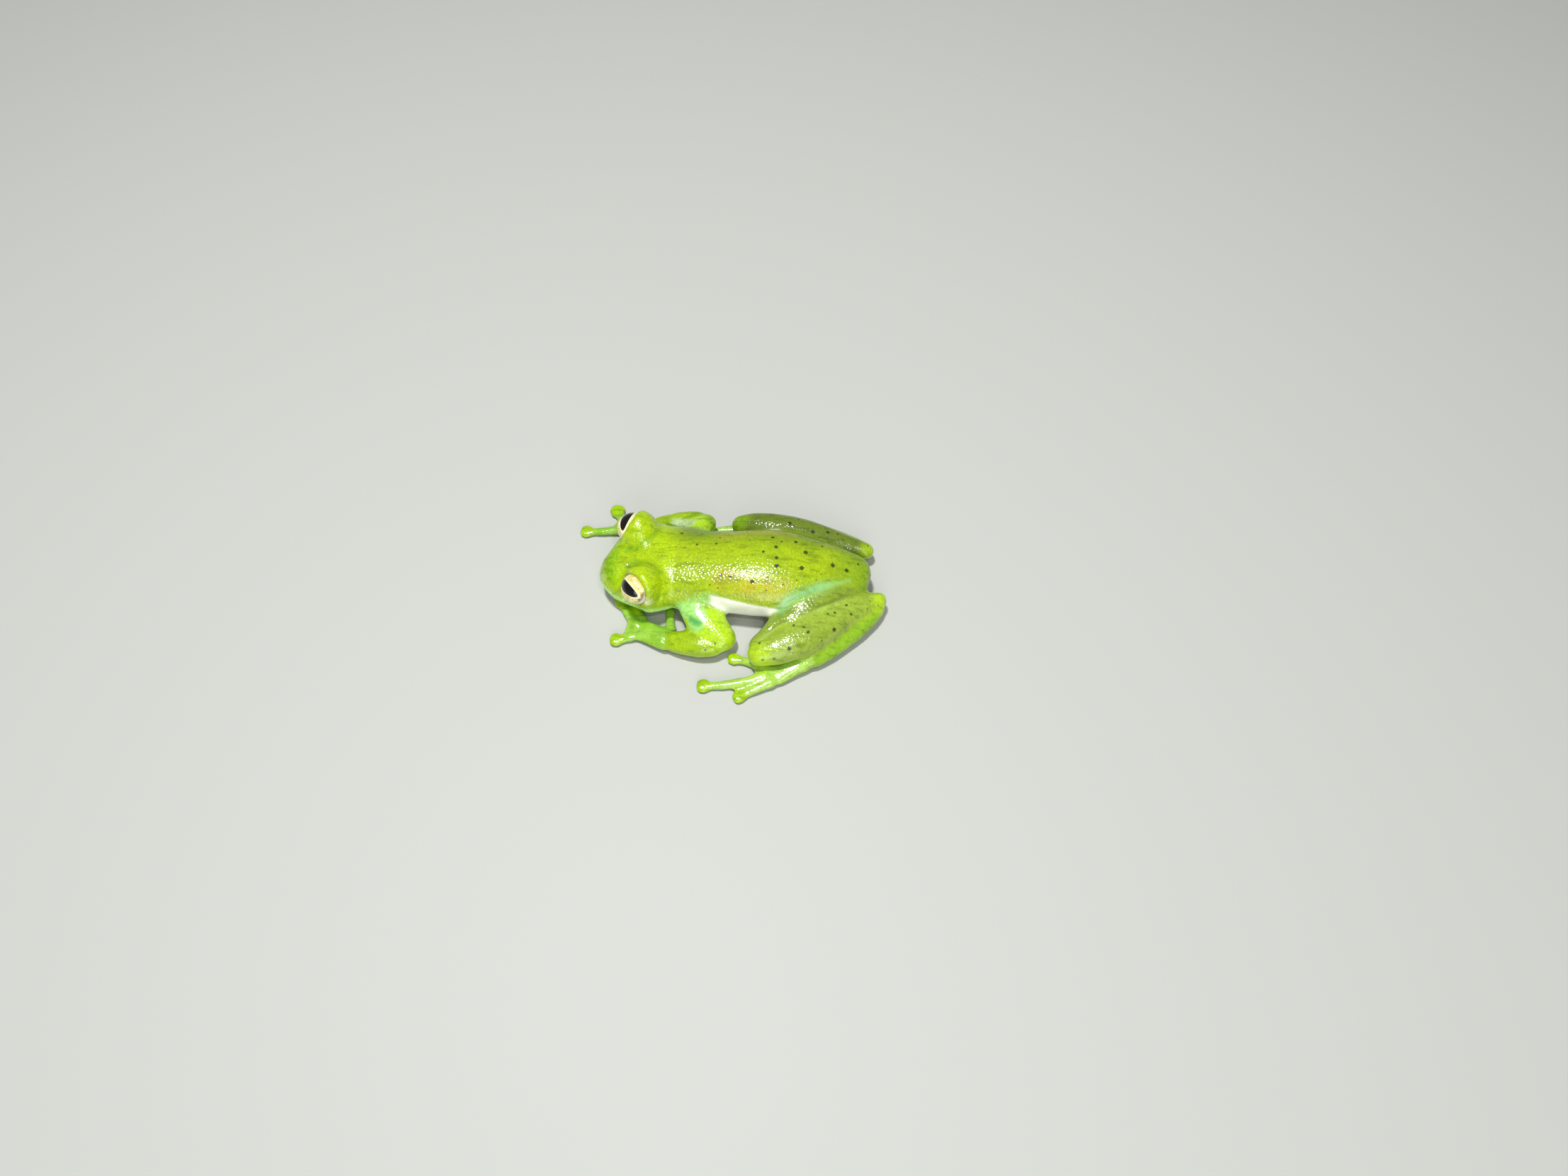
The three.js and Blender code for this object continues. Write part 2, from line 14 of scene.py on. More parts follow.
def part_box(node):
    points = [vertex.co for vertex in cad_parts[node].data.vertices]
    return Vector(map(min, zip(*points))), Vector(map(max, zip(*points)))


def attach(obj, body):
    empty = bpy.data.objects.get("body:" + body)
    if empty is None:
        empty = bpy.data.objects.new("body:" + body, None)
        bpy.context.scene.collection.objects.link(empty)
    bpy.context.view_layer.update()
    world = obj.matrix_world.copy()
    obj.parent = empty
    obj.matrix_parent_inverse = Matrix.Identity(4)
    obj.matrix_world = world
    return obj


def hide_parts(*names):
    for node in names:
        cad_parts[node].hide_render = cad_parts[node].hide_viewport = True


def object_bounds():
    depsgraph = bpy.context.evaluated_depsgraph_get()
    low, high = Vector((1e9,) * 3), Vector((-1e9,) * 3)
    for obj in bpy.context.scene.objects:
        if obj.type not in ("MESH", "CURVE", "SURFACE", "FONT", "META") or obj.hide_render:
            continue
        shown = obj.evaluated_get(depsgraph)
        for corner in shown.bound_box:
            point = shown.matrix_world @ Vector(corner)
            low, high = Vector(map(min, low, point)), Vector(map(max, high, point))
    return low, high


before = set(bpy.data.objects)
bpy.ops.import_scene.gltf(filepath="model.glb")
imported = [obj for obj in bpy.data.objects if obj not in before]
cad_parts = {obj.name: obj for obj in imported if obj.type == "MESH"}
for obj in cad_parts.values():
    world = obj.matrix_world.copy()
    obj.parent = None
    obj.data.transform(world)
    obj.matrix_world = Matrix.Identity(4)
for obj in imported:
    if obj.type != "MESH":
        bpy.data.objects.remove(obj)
cad_low, cad_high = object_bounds()


# Skin, its form. The frog wears one unbroken, moist skin over soft flesh, so trunk, limbs and
# digits flow into each other, with a crease only where flesh lies on flesh. It starts as copies
# of the solids, which swell until their narrow gaps close and are then drawn back to size.
MM = 0.001
MERGE_DISTANCE = 0.001 * MM
VOXEL = 0.138 * MM
SWELL = 0.17 * MM  # over half of the gaps between the solids
SIDES = ("left", "right")
LIMB_ENDS = [("forearm", "hand", "finger"), ("tarsus", "foot", "toe")]
JOIN_REACH = 1.3 * MM  # round each wrist and ankle, where a limb's end is joined on
JOIN_SWELL = 0.2 * MM
FLESH = [name for name in sorted(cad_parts) if not name.startswith("eye")]


def select_only(*objects):
    bpy.ops.object.select_all(action="DESELECT")
    for obj in objects:
        obj.select_set(True)
    bpy.context.view_layer.objects.active = objects[0]


def joined(title, pieces):
    select_only(*pieces)
    bpy.ops.object.join()
    pieces[0].name = title
    return pieces[0]


def merged_copy(title, names):
    """One mesh of copies of the named solids, with their loose triangles merged."""
    copies = []
    for name in names:
        copy = bpy.data.objects.new(title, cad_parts[name].data.copy())
        bpy.context.scene.collection.objects.link(copy)
        copies.append(copy)
    whole = joined(title, copies)
    bpy.ops.object.mode_set(mode="EDIT")
    bpy.ops.mesh.select_all(action="SELECT")
    bpy.ops.mesh.remove_doubles(threshold=MERGE_DISTANCE)
    bpy.ops.object.mode_set(mode="OBJECT")
    return whole


def finish_with(obj, kind, **settings):
    """Adds a modifier and applies it."""
    select_only(obj)
    modifier = obj.modifiers.new(kind.title(), kind)
    for name, value in settings.items():
        setattr(modifier, name, value)
    bpy.ops.object.modifier_apply(modifier=modifier.name)


def remesh(obj):
    finish_with(obj, "REMESH", mode="VOXEL", voxel_size=VOXEL)


def grown_together(obj):
    """Closes the narrow gaps between the solids of one mesh."""
    remesh(obj)
    finish_with(obj, "DISPLACE", strength=SWELL, mid_level=0)
    remesh(obj)
    finish_with(obj, "DISPLACE", strength=-SWELL, mid_level=0)
    return obj


def places_of(obj):
    places = np.empty(len(obj.data.vertices) * 3)
    obj.data.vertices.foreach_get("co", places)
    return places.reshape(-1, 3)


def normals_of(obj):
    normals = np.empty(len(obj.data.vertices) * 3)
    obj.data.vertex_normals.foreach_get("vector", normals)
    return normals.reshape(-1, 3)


def set_places(obj, places):
    obj.data.vertices.foreach_set("co", places.ravel())
    obj.data.update()


def fade(distance, full, none):
    """Smooth share: 1 at the distance called full, 0 at the one called none."""
    share = np.clip((distance - none) / (full - none), 0, 1)
    return share * share * (3 - 2 * share)


def junction(first, second):
    """Middle of the gap between two neighbouring solids."""
    low_1, high_1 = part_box(first)
    low_2, high_2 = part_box(second)
    low = np.maximum(low_1, low_2)
    high = np.minimum(high_1, high_2)
    return (low + high) / 2


def swell_at(obj, centres, amount):
    """Moves the surface outwards round some points."""
    places = places_of(obj)
    normals = normals_of(obj)
    share = np.zeros(len(places))
    for centre in centres:
        near = fade(np.linalg.norm(places - centre, axis=1), JOIN_REACH / 2, JOIN_REACH)
        share = np.maximum(share, near)
    set_places(obj, places + normals * (share * amount)[:, None])


def is_end(name):
    return name.startswith(("hand", "finger", "foot", "toe"))


core = grown_together(merged_copy("skin", [name for name in FLESH if not is_end(name)]))
pieces = [core]
wrists = []
for side in SIDES:
    for limb, palm, digit in LIMB_ENDS:
        palm_name = f"{palm}_{side}"
        names = [name for name in FLESH if name.startswith((palm_name, f"{digit}_{side}"))]
        pieces.append(grown_together(merged_copy(palm_name, names)))
        wrists.append(junction(f"{limb}_{side}", palm_name))
for piece in pieces:
    swell_at(piece, wrists, JOIN_SWELL)
skin = joined("skin", pieces)
remesh(skin)
swell_at(skin, wrists, -JOIN_SWELL)


def keep_largest(obj):
    """Drops closed scraps, such as a pocket between two limbs that were pressed together."""
    title = obj.name
    select_only(obj)
    bpy.ops.mesh.separate(type="LOOSE")
    *scraps, largest = sorted(bpy.context.selected_objects, key=lambda o: len(o.data.vertices))
    for scrap in scraps:
        bpy.data.objects.remove(scrap)
    largest.name = title
    return largest


skin = keep_largest(skin)
skin.data.materials.clear()


# Skin, its relief. Broad flesh is smooth, so the facets of the solids are relaxed away there,
# and the fine forms follow one by one: lids drawn down onto the eyes with a groove inside each, the
# line of the mouth with its lips, the nostrils, the fold of the groin and the vent.
SMOOTHING = {  # share of the full smoothing
    "torso": 1, "head": 0.55, "lower_jaw": 0.5, "upper_arm": 0.8, "forearm": 0.8, "thigh": 0.9,
    "shank": 0.8, "tarsus": 0.6, "hand": 0.4, "foot": 0.4, "finger": 0.14, "toe": 0.14,
}
SMOOTHING_ROUNDS = 26
SOFTNESS_ROUNDS = 6
EYE_RIM = 0.75 * MM  # how far round an eye the smoothing is held back
EYE_RIM_FIRMNESS = 0.85  # share of the smoothing that the rims of the lids don't get
LID_CLEARANCE = 0.015 * MM
LID_REACH = (0.14 * MM, 0.42 * MM)  # off the eye: drawn down fully, and not at all
MOUTH_LINE = [(0, 1.9), (2, 1.85), (5, 1.75), (9, 1.65)]  # mm back from the snout, height
MOUTH_CORNER = (6.6, 7.6)  # mm back from the snout: where the line starts to fade, and ends
MOUTH_SLOPE = (0.95, 0.8)  # upright part of the skin's direction: no line, and all of it
MOUTH_GROOVE = (0.15, 0.12)  # such a form is its depth or height, and its half width, in mm
UPPER_LIP = (0.05, 0.17)
LOWER_LIP = (0.03, 0.17)
LIP_OFFSET = 0.34  # mm from the line of the mouth
NOSTRILS = [(1.62, -12.86, 3.4), (-0.34, -13.0, 3.42)]
NOSTRIL_RIM = (0.06, 0.34)
NOSTRIL_PIT = (0.15, 0.14)
LID_GROOVE = [  # mm in, ahead and up of the eye's centre
    (2.7, 0.7, 0.1), (2.75, -0.25, 0.4), (1.9, -1.7, 0.5), (1.2, -2.3, 0.5),
]
LID_GROOVE_SIZE = (0.08, 0.3)
TEMPLE = (0.26, 0.5)  # fills the hollow behind the lids, along a ring round the eye
TEMPLE_RING = 2.5
TEMPLE_AHEAD = (-0.45, 0.1)  # forward part of the direction from the eye: all of it, none
THIGH_CREASE = [(7.6, 2.7, 3.0), (6.3, 4.3, 3.3), (5.2, 6.2, 3.5), (4.2, 8.5, 3.8), (2.6, 11.4, 3.4)]
THIGH_CREASE_SIZE = (0.12, 0.16)
GROIN_LINE = [(4.6, 4.7, 3.4), (4.0, 5.4, 4.3), (3.6, 6.1, 4.5), (2.4, 8.5, 4.4), (1.1, 11.3, 3.9)]
GROIN_FOLD = (0.05, 0.16)
VENT = (0.1, 13.45, 2.7)
VENT_PIT = (0.12, 0.3)
TRUNK_LEAN = -0.4  # twice the sideways place of the trunk's middle line
FAR_GROIN_OUT = 0.6
FAR_GROIN_DROP = 2.2
FAR_GROIN = [(TRUNK_LEAN - x - FAR_GROIN_OUT, y, z - FAR_GROIN_DROP) for x, y, z in GROIN_LINE]


def nearest_solids(places):
    """Name of the solid that each place lies nearest to."""
    corners, faces, owners = [], [], []
    for name in FLESH:
        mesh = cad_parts[name].data
        start = len(corners)
        corners += [v.co for v in mesh.vertices]
        faces += [[start + i for i in p.vertices] for p in mesh.polygons]
        owners += [name] * len(mesh.polygons)
    tree = BVHTree.FromPolygons(corners, faces)
    return np.array([owners[tree.find_nearest(place)[2]] for place in places])


def edge_pairs(obj):
    pairs = np.empty(len(obj.data.edges) * 2, int)
    obj.data.edges.foreach_get("vertices", pairs)
    return pairs.reshape(-1, 2)


def evened(values, pairs, rounds, share=1.0):
    """Moves each value towards the mean of its neighbours, in several rounds."""
    values = values.reshape(len(values), -1).copy()
    first, second = pairs.T
    count = np.bincount(pairs.ravel(), minlength=len(values))
    weight = np.broadcast_to(0.5 * np.asarray(share), len(values))
    for _ in range(rounds):
        for k in range(values.shape[1]):
            column = values[:, k]
            total = np.bincount(first, column[second], len(values))
            total += np.bincount(second, column[first], len(values))
            values[:, k] += weight * (total / count - column)
    return values.squeeze()


def kind_of(name):
    """The kind of a solid, without its side and number."""
    for kind in SMOOTHING:
        if name.startswith(kind):
            return kind


def eye_frames():
    """Each eye's centre, and the head's own directions out to that side and ahead."""
    centres = {}
    for side in SIDES:
        low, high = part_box(f"eye_{side}")
        centres[side] = (low + high) / 2
    across = (centres["left"] - centres["right"]).normalized()
    ahead = Vector((across.y, -across.x, 0)).normalized()
    out = {"left": across, "right": -across}
    return {side: {"centre": centres[side], "out": out[side], "ahead": ahead} for side in SIDES}


EYES = eye_frames()
EYE_RADIUS = (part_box("eye_left")[1].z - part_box("eye_left")[0].z) / 2
SNOUT_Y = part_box("head")[0].y

pairs = edge_pairs(skin)
places = places_of(skin)
solids = nearest_solids(places)
kinds = np.array([kind_of(name) for name in solids])
softness = evened(np.array([SMOOTHING[kind] for kind in kinds]), pairs, SOFTNESS_ROUNDS)
for eye in EYES.values():
    from_eye = np.linalg.norm(places - eye["centre"], axis=1) - EYE_RADIUS
    softness *= 1 - EYE_RIM_FIRMNESS * fade(from_eye, EYE_RIM / 2, EYE_RIM)
places = evened(places, pairs, SMOOTHING_ROUNDS, softness)
set_places(skin, places)


def draw_lids(places):
    """Brings the rims of the lids down onto the eyes."""
    for eye in EYES.values():
        away = places - eye["centre"]
        distance = np.linalg.norm(away, axis=1)
        loose = distance - EYE_RADIUS - LID_CLEARANCE
        share = fade(loose, *LID_REACH)
        places = places - away / distance[:, None] * (loose * share)[:, None]
    return places


def distance_to(places, point):
    return np.linalg.norm(places - point, axis=1)


def distance_to_line(places, points):
    """Distance to a line through some points."""
    nearest = np.full(len(places), np.inf)
    for start, end in zip(points, points[1:]):
        start = np.array(start)
        along = np.array(end) - start
        share = np.clip((places - start) @ along / (along @ along), 0, 1)
        nearest = np.minimum(nearest, distance_to(places, start + share[:, None] * along))
    return nearest


def mirrored(points):
    """The same places on the frog's right, whose trunk leans that way."""
    return [(TRUNK_LEAN - x, y, z) for x, y, z in points]


def lid_groove(eye):
    """Line of the groove on the inner side of an eye's lids, in mm."""
    steps = [eye["ahead"] * ahead - eye["out"] * inward for inward, ahead, _ in LID_GROOVE]
    middle = eye["centre"] / MM
    return [middle + step + Vector((0, 0, up)) for step, (_, _, up) in zip(steps, LID_GROOVE)]


def raised(distance, form):
    """Height of a soft ridge, given by its height and half width."""
    height, half = form
    return height * np.exp(-((distance / half) ** 2))


def carve(places, normals):
    """Moves the surface along its normals for the fine forms."""
    at = places / MM
    back = at[:, 1] - SNOUT_Y / MM
    rise = at[:, 2] - np.interp(back, *zip(*MOUTH_LINE))
    outward = 1 - fade(np.abs(normals[:, 2]), *MOUTH_SLOPE)
    on_face = fade(back, *MOUTH_CORNER) * outward
    move = -raised(rise, MOUTH_GROOVE) * on_face
    move += raised(rise - LIP_OFFSET, UPPER_LIP) * on_face
    move += raised(rise + LIP_OFFSET, LOWER_LIP) * on_face
    for point in NOSTRILS:
        away = distance_to(at, point)
        move += raised(away, NOSTRIL_RIM) - raised(away, NOSTRIL_PIT)
    for eye in EYES.values():
        move -= raised(distance_to_line(at, lid_groove(eye)), LID_GROOVE_SIZE)
        towards = at - np.array(eye["centre"]) / MM
        away = np.linalg.norm(towards, axis=1)
        behind = fade(towards @ np.array(eye["ahead"]) / away, *TEMPLE_AHEAD)
        move += raised(away - TEMPLE_RING, TEMPLE) * behind
    for line in (GROIN_LINE, FAR_GROIN):
        move += raised(distance_to_line(at, line), GROIN_FOLD)
    move -= raised(distance_to_line(at, THIGH_CREASE), THIGH_CREASE_SIZE)
    move -= raised(distance_to(at, VENT), VENT_PIT)
    return places + normals * (move * MM)[:, None]


places = draw_lids(places)
set_places(skin, places)
places = carve(places, normals_of(skin))
places = np.clip(places, np.array(cad_low), np.array(cad_high))
set_places(skin, places)


# Skin, its markings. Thin skin over green-tinted tissue: yellow-green above with small dark
# spots in loose rows, a gold edge to the back, a white stripe along each flank, and thin blue-green
# skin at armpit and groin. The lips are pale, and pads, elbows, knees and heels are yellow.
# Some of it is painted light and shade: painted shade darkens the trunk's far side, the far legs
# and joints, the thigh crease, the lid grooves and fronts and the nostrils; painted light widens the
# pale lips.
GREEN = "#aac60c"
CROWN = "#b6d600"
SNOUT = "#74b400"
# dark olive: painted shade on the far side and along fine folds, and the skin's own mottling
SHADE_AND_MOTTLE = "#6c8a0a"
GOLD = "#c6ba2a"
RUMP = "#769e1e"
BELLY = "#dbe6b6"
WHITE = "#fffff2"
TURQUOISE = "#aae67c"
TEAL = "#3aa850"
GROIN_AQUA = "#8ed090"
LIP = "#ccff90"
CREAM = "#f6f6c2"
LID_GROOVE_SHADE = "#7fae06"
BROWN = "#8a6f28"
ARM = "#b9e228"
FOREARM = "#a4c614"
HAND = "#8fc42e"
PALE_HAND = "#b8e070"
FAR_ARM_PALE = "#cfe6b4"
THIGH = "#8aa430"
SHANK = "#a0ba3e"
LEG_SHADE = "#5e721c"
KNEE = "#badd1c"
SHADED_JOINT = "#84b204"
TARSUS = "#90be26"
FOOT = "#a6d04e"
PAD = "#a6d000"
EDGE_GREEN = "#c4e67c"
BACK_SPOTS = [  # x, y and radius in mm
    (-3.1, -5.5, 0.15), (-1.4, -3.8, 0.13), (-1.5, -1.9, 0.13), (-2.3, -1.6, 0.09),
    (-1.2, -5.8, 0.08), (-2.4, 3.6, 0.16), (-1.9, 4.5, 0.11), (-2.1, 5.9, 0.17), (-1.1, 4.0, 0.18),
    (-0.4, 2.8, 0.14), (-0.9, 6.9, 0.2), (0.2, 4.1, 0.16), (1.1, 4.2, 0.2), (1.0, 6.6, 0.2),
    (0.0, 9.6, 0.2), (0.2, 11.0, 0.19), (-2.2, 8.5, 0.13), (-0.8, 12.1, 0.13), (2.1, -1.2, 0.14),
    (2.3, -0.2, 0.14), (2.1, 1.1, 0.13), (2.8, 1.9, 0.19), (2.4, 3.4, 0.12), (3.0, -2.2, 0.11),
    (2.4, -4.2, 0.1), (3.3, -1.4, 0.1), (2.9, 4.9, 0.11), (3.5, 3.3, 0.09), (2.3, 6.2, 0.1),
    (-3.3, 1.0, 0.11), (-3.0, -3.4, 0.1),
]
LEFT_LIMB_SPOTS = [
    (8.2, 2.9, 0.13), (9.8, 3.3, 0.14), (9.7, 4.4, 0.15), (8.8, 5.8, 0.17), (8.9, 7.1, 0.11),
    (6.4, 6.1, 0.13), (6.6, 7.1, 0.12), (7.1, 7.5, 0.15), (7.6, 8.9, 0.12), (6.3, 10.0, 0.18),
    (4.8, 9.3, 0.12), (4.6, 10.0, 0.13), (3.5, 11.1, 0.14), (4.4, 11.6, 0.12), (4.4, 12.1, 0.1),
    (3.2, 11.9, 0.08), (3.4, 13.2, 0.11), (2.6, 13.4, 0.08), (2.8, 14.3, 0.1),
    (8.0, -1.4, 0.12), (8.6, -2.3, 0.12), (8.5, -4.2, 0.08),
]
RIGHT_LIMB_SPOTS = [
    (-6.2, 1.6, 0.09), (-5.8, 2.4, 0.08), (-5.6, 5.1, 0.18), (-6.3, 6.0, 0.11), (-4.8, 7.5, 0.17),
    (-5.0, 9.0, 0.15), (-5.0, 10.0, 0.1), (-4.4, 10.6, 0.1), (-4.2, 13.1, 0.1), (-6.7, 3.4, 0.08),
]
SPOT_SIZE = 1.1  # the edges fade, so a spot is drawn a little wider
SPOT_SEARCH = 0.13  # how far from its x and y a spot looks for the skin's height
NO_SPOT = 9.0  # mm to a spot's edge, where there is none near
REGION_ROUNDS = 7
BLOTCH_SEED = 4
BLOTCH_ROUNDS = 24
BLOTCH_SHARES = (0.75, 0.2)  # quantiles of the noise: full above the first, none below the other
DIGIT_PAD_REACH = 1.45
BARE_DIGIT = "finger_left_1"  # the left thumb is pale out to its tip
GOLD_BAND = [(2.6, -1.0, 5.4), (3.1, 1.2, 5.3), (3.4, 3.2, 5.1), (3.1, 4.8, 5.2)]
GOLD_STRENGTH = (0.5, 0.4)  # between the blotches, and what a full blotch adds
FLANK_TOP = [(-2.2, 4.3), (-0.5, 4.2), (1.2, 4.0), (4.0, 3.65), (5.6, 3.4)]  # y and height
ARMPIT = [(4.0, -2.2, 3.7), (4.2, -3.2, 3.5), (4.6, -4.3, 3.1)]
THIN_ARM = [(4.5, -4.9, 2.4), (5.0, -3.5, 3.2), (5.6, -3.2, 3.2), (6.2, -3.4, 3.0)]
THIN_ARM_SPOT = [(5.8, -3.9, 3.0), (6.25, -3.1, 3.0)]
FAR_ARM_PATCH = [(-5.4, -4.9, 2.9), (-6.0, -6.6, 2.2)]
LID_CORNER = (1.68, -0.85, -0.12)  # out, ahead and up of the eye's centre
LID_FRONT_SHADE = (-0.4, 1.35, 1.25)
NEAR_JOINTS = [  # place, and how far its colour goes
    ((7.7, -0.3, 2.0), 2.4), ((9.4, 2.7, 2.2), 2.4),
    ((2.0, 14.9, 1.8), 2.2), ((-3.8, 13.6, 1.8), 2.0),
]
FAR_JOINTS = [((-6.6, -2.9, 2.5), 1.7), ((-6.3, -0.4, 2.6), 1.9)]
GROIN_STRENGTH = 0.5  # of its colour, forward of the rear
GROIN_FOLD_STRENGTH = 0.9
GROIN_REAR_LOSS = 0.5
CREASE_EDGE_OFFSET = (0.25, 0.15, -0.1)  # of the pale edge from the crease of the thigh

# The y in mm at which a colour is full, and at which it has gone
CROWN_END = (-7.0, -4.5)
SNOUT_END = (-12.4, -10.6)
SHADE_END = (-4, -8)
RUMP_END = (13, 8.5)
LIP_END = (-6.4, -5.2)
FLANK_FRONT = (-1.7, -2.5)
FLANK_REAR = (4.2, 5.1)
GROIN_REAR = (10.8, 8.0)

# The same for a height or a sideways place in mm
SHADE_SIDE = (-3.6, -0.4)
BELLY_TOP = (1.0, 2.1)
LIP_TOP = (2.4, 3.0)
FLANK_EDGE = (-0.2, 0.12)

# The same for the upward part of the skin's direction
SNOUT_SLOPE = (0.95, 0.3)
BELLY_SLOPE = (-0.35, 0.05)
TRUNK_GRAIN_SLOPE = (0.1, -0.4)
LIMB_GRAIN_SLOPE = (0.5, -0.2)

# The same for the distance from a point or line in mm
GOLD_REACH = (0.3, 1.8)
LID_GROOVE_REACH = (0.1, 0.6)
LID_CORNER_REACH = (0.3, 0.75)
LID_FRONT_REACH = (0.1, 0.4)
LID_EDGE_REACH = (0.05, 0.22)
NOSTRIL_PALE_REACH = (0.15, 0.45)
NOSTRIL_DARK_REACH = (0.06, 0.2)
ARMPIT_REACH = (0.2, 1.2)
THIN_ARM_REACH = (0.65, 1.15)
THIN_ARM_SPOT_REACH = (0.05, 0.6)
FAR_ARM_REACH = (0.3, 0.95)
GROIN_REACH = (0.25, 1.0)
GROIN_FOLD_REACH = (0.04, 0.3)
GROIN_GRAIN_REACH = (0.2, 0.8)
CREASE_EDGE_REACH = (0.08, 0.35)
CREASE_REACH = (0.05, 0.25)
PAD_REACH = (0.6, 1.35)


def colour(code):
    """Linear colour of a hex code."""
    parts = [int(code[i : i + 2], 16) / 255 for i in (1, 3, 5)]
    return np.array([c / 12.92 if c <= 0.04045 else ((c + 0.055) / 1.055) ** 2.4 for c in parts])


def digit_pads():
    """Middle of each digit's pad, found as its end that lies furthest from the palm or sole."""
    pads = []
    for name in FLESH:
        if not name.startswith(("finger", "toe")) or name == BARE_DIGIT:
            continue
        palm = name.replace("finger", "hand").replace("toe", "foot").rsplit("_", 1)[0]
        low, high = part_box(palm)
        corners = places_of(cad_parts[name])
        tip = corners[np.argmax(distance_to(corners, np.array((low + high) / 2)))]
        pads.append(corners[distance_to(corners, tip) < DIGIT_PAD_REACH * MM].mean(0) / MM)
    return pads


def spot_edges(at, facing_up):
    """Distance to the edge of the nearest dark spot, below 0 inside it."""
    edge = np.full(len(at), NO_SPOT)
    on_trunk = np.isin(kinds, ("torso", "head"))
    on_limb = np.isin(kinds, ("thigh", "shank", "tarsus", "upper_arm", "forearm"))
    groups = [(BACK_SPOTS, on_trunk), (LEFT_LIMB_SPOTS, on_limb), (RIGHT_LIMB_SPOTS, on_limb)]
    for spots, on_part in groups:
        on_part = on_part & facing_up
        for x, y, radius in spots:
            close = on_part & (np.hypot(at[:, 0] - x, at[:, 1] - y) < SPOT_SEARCH)
            if close.any():
                middle = np.array([x, y, at[close, 2].max()])
                edge = np.minimum(edge, distance_to(at, middle) - radius * SPOT_SIZE)
    return edge


def region(*names, side=""):
    """Soft mask of the skin over some kinds of solid, on both sides or on one."""
    marked = np.isin(kinds, names) & (np.char.find(solids, side) >= 0)
    return evened(marked.astype(float), pairs, REGION_ROUNDS)


at = places / MM
normals = normals_of(skin)
upward = normals[:, 2]
back_y = at[:, 1]
from_middle = at[:, 0] - TRUNK_LEAN / 2
tint = np.tile(colour(GREEN), (len(at), 1))


def paint(mask, code, strength=1.0):
    """Lays a colour over the skin where the mask is 1."""
    global tint
    tint = tint + np.clip(mask * strength, 0, 1)[:, None] * (colour(code) - tint)


def along(line, reach):
    """Soft mask round a line through some points."""
    return fade(distance_to_line(at, line), *reach)


def around(point, reach):
    """Soft mask round a point."""
    return fade(distance_to(at, point), *reach)


# Trunk and head
face = region("head", "lower_jaw")
trunk = region("torso", "head", "lower_jaw")
torso = region("torso")
paint(region("head") * fade(back_y, *CROWN_END), CROWN)
paint(face * fade(back_y, *SNOUT_END) * fade(upward, *SNOUT_SLOPE), SNOUT, strength=0.75)
# painted shade: the trunk's far side is darkened, as where less light falls
paint(trunk * fade(from_middle, *SHADE_SIDE) * fade(back_y, *SHADE_END), SHADE_AND_MOTTLE, strength=0.9)
paint(torso * fade(back_y, *RUMP_END), RUMP, strength=0.7)
blotches = evened(np.random.default_rng(BLOTCH_SEED).random(len(at)), pairs, BLOTCH_ROUNDS)
blotches = fade(blotches, *np.quantile(blotches, BLOTCH_SHARES))
gilding = torso * (GOLD_STRENGTH[0] + GOLD_STRENGTH[1] * blotches)
paint(along(GOLD_BAND, GOLD_REACH) * gilding, GOLD)
paint(along(mirrored(GOLD_BAND), GOLD_REACH) * gilding, GOLD, strength=0.5)
paint(trunk * fade(upward, *BELLY_SLOPE) * fade(at[:, 2], *BELLY_TOP), BELLY)
# pale lips: partly their own colour, and partly painted light carried up the jaw's side
paint(face * fade(at[:, 2], *LIP_TOP) * fade(back_y, *LIP_END), LIP, strength=0.9)
for eye in EYES.values():
    middle = np.array(eye["centre"]) / MM
    corner, front = [
        middle + np.array(eye["out"]) * out + np.array(eye["ahead"]) * ahead + (0, 0, up)
        for out, ahead, up in (LID_CORNER, LID_FRONT_SHADE)
    ]
    from_eye = distance_to(at, middle) - EYE_RADIUS / MM
    # painted shade along the groove inside each lid
    paint(along(lid_groove(eye), LID_GROOVE_REACH), LID_GROOVE_SHADE, strength=0.75)
    paint(around(corner, LID_CORNER_REACH), CREAM, strength=0.95)
    # painted shade at the lid's front, where it meets the eye
    paint(around(front, LID_FRONT_REACH), BROWN, strength=0.6)
    paint(fade(from_eye, *LID_EDGE_REACH), BROWN, strength=0.55)
for point in NOSTRILS:
    paint(around(point, NOSTRIL_PALE_REACH), CREAM, strength=0.35)
    # painted shade in the nostril's opening
    paint(around(point, NOSTRIL_DARK_REACH), BROWN, strength=0.9)

# Arms
paint(region("upper_arm"), ARM)
paint(region("forearm"), FOREARM)
paint(region("hand", "finger"), HAND)
for line in (ARMPIT, mirrored(ARMPIT)):
    paint(along(line, ARMPIT_REACH) * trunk, TURQUOISE, strength=0.8)
thin_arm = along(THIN_ARM, THIN_ARM_REACH) * region("upper_arm", "torso")
paint(thin_arm, TURQUOISE)
paint(along(THIN_ARM_SPOT, THIN_ARM_SPOT_REACH) * thin_arm, TEAL, strength=0.8)
paint(along(FAR_ARM_PATCH, FAR_ARM_REACH) * region("upper_arm", "forearm"), FAR_ARM_PALE)

# Legs and groin
paint(region("thigh"), THIGH)
paint(region("shank"), SHANK)
